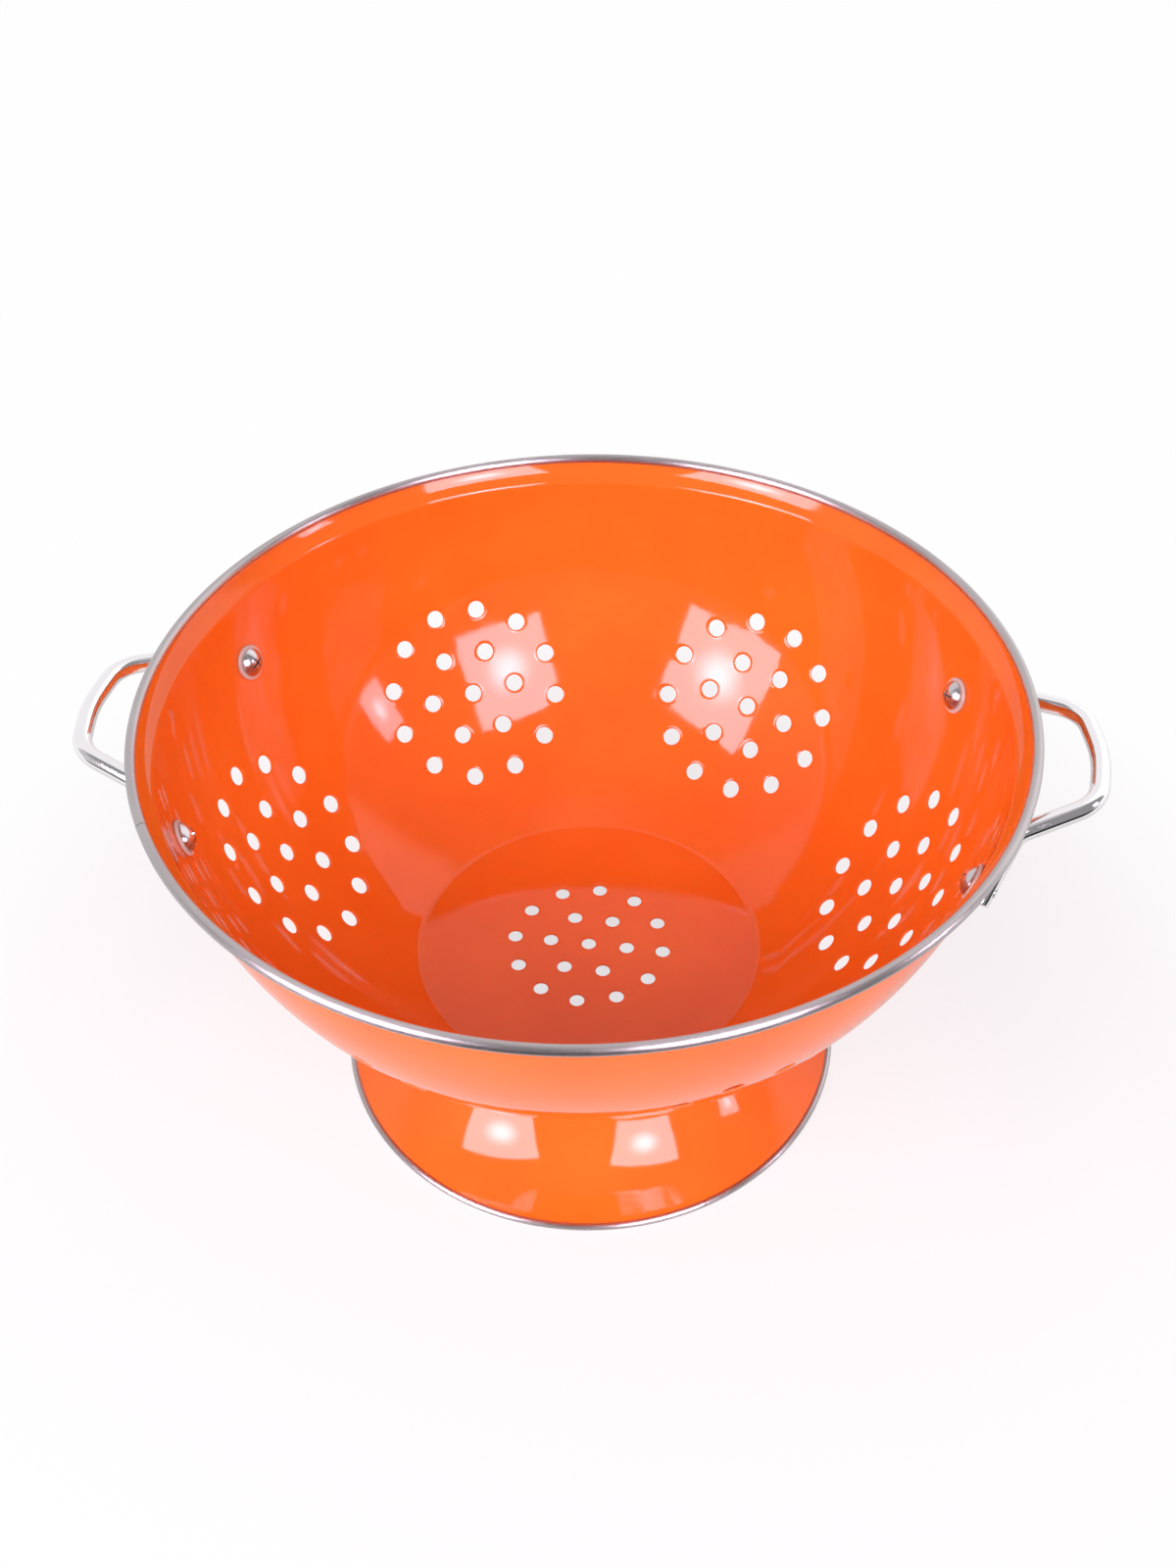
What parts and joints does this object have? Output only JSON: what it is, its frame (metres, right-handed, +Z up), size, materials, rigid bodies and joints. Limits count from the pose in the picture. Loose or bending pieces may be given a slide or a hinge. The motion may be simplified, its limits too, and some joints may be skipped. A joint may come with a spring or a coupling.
{
  "type": "footed colander",
  "caption": "Footed kitchen colander: enamelled bowl with gangs of drain holes, steel-banded rim, flared foot and wire loop handles.",
  "frame": {"origin": "on the table surface, under the middle of the foot", "axes": "+Z up along the axis of the bowl; +X along the line through the two handles"},
  "size_m": [0.3252, 0.28, 0.159],
  "materials": {
    "enamel": "gloss orange enamel on steel sheet",
    "stainless_strip": "satin rolled strip",
    "chromed_wire": "bright chrome plate on steel wire",
    "screw_steel": "bright zinc plate",
    "washer_plastic": "translucent natural"
  },
  "bodies": {
    "root": {"bowl": "enamel", "foot": "enamel", "rim_band": "stainless_strip", "foot_band": "stainless_strip", "handle_right": "chromed_wire", "handle_left": "chromed_wire", "screw_right_back": "screw_steel", "screw_right_front": "screw_steel", "screw_left_back": "screw_steel", "screw_left_front": "screw_steel", "washer_right_back": "washer_plastic", "washer_right_front": "washer_plastic", "washer_left_back": "washer_plastic", "washer_left_front": "washer_plastic"}
  },
  "joints": []
}
